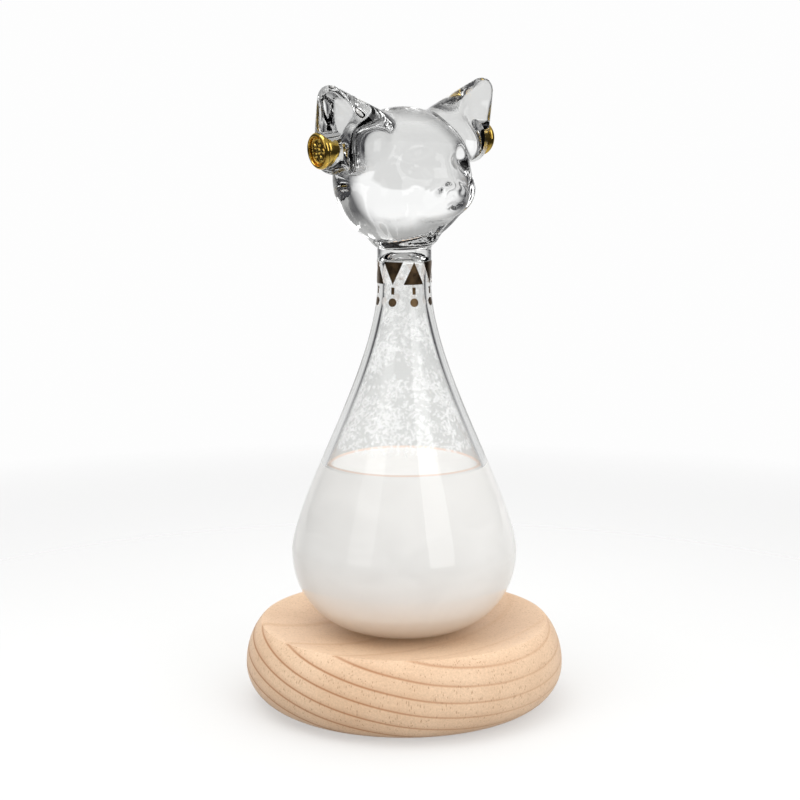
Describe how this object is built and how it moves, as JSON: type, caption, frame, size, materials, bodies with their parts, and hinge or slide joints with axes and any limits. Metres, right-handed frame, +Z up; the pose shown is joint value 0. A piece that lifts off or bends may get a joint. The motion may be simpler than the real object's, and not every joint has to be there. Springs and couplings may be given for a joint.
{
  "type": "storm glass",
  "caption": "Cat-headed storm glass: a sealed drop-shaped glass bottle of milky liquid and crystals, with gold ear studs and collar, standing loose in a round beech dish.",
  "frame": {"origin": "centre of the wooden base's flat underside", "axes": "+Z up along the axis of the bottle and the base; the cat faces -Y, with its left ear towards +X"},
  "size_m": [0.07, 0.07, 0.1362],
  "materials": {
    "beech": "fine sanded, clear oiled beech",
    "clear_glass": "fire-polished clear borosilicate",
    "storm_liquid": "slightly milky water and alcohol solution",
    "camphor_crystal": "feathery white camphor crystals",
    "silicone": "translucent white silicone",
    "sealant": "clear cured adhesive",
    "gilding": "polished gold plating",
    "printed_gold": "fired bronze-gold print"
  },
  "bodies": {
    "base": {"wooden_base": "beech"},
    "contents": {"storm_liquid": "storm_liquid"},
    "bottle": {"glass_bottle": "clear_glass", "glass_head": "clear_glass", "settled_crystals": "camphor_crystal", "neck_frost": "camphor_crystal", "filler_plug": "silicone", "plug_sealant": "sealant", "earring_cup_left": "gilding", "earring_cup_right": "gilding", "earring_medallion_left": "gilding", "earring_medallion_right": "gilding", "collar_leaf_1": "printed_gold", "collar_leaf_2": "printed_gold", "collar_leaf_3": "printed_gold", "collar_leaf_4": "printed_gold", "collar_leaf_5": "printed_gold", "collar_leaf_6": "printed_gold", "collar_leaf_7": "printed_gold", "collar_leaf_8": "printed_gold", "collar_tick_1": "printed_gold", "collar_tick_2": "printed_gold", "collar_tick_3": "printed_gold", "collar_tick_4": "printed_gold", "collar_tick_5": "printed_gold", "collar_tick_6": "printed_gold", "collar_tick_7": "printed_gold", "collar_tick_8": "printed_gold", "collar_dot_1": "printed_gold", "collar_dot_2": "printed_gold", "collar_dot_3": "printed_gold", "collar_dot_4": "printed_gold", "collar_dot_5": "printed_gold", "collar_dot_6": "printed_gold", "collar_dot_7": "printed_gold", "collar_dot_8": "printed_gold"}
  },
  "joints": [
    {"name": "bottle_lift", "type": "slide", "parent": "base", "child": "contents", "axis": [0, 0, 1], "range_m": [0, 0.05]},
    {"name": "bottle_turn", "type": "hinge", "parent": "contents", "child": "bottle", "pos_m": [0, 0, 0.0159], "axis": [0, 0, 1], "continuous": true}
  ]
}
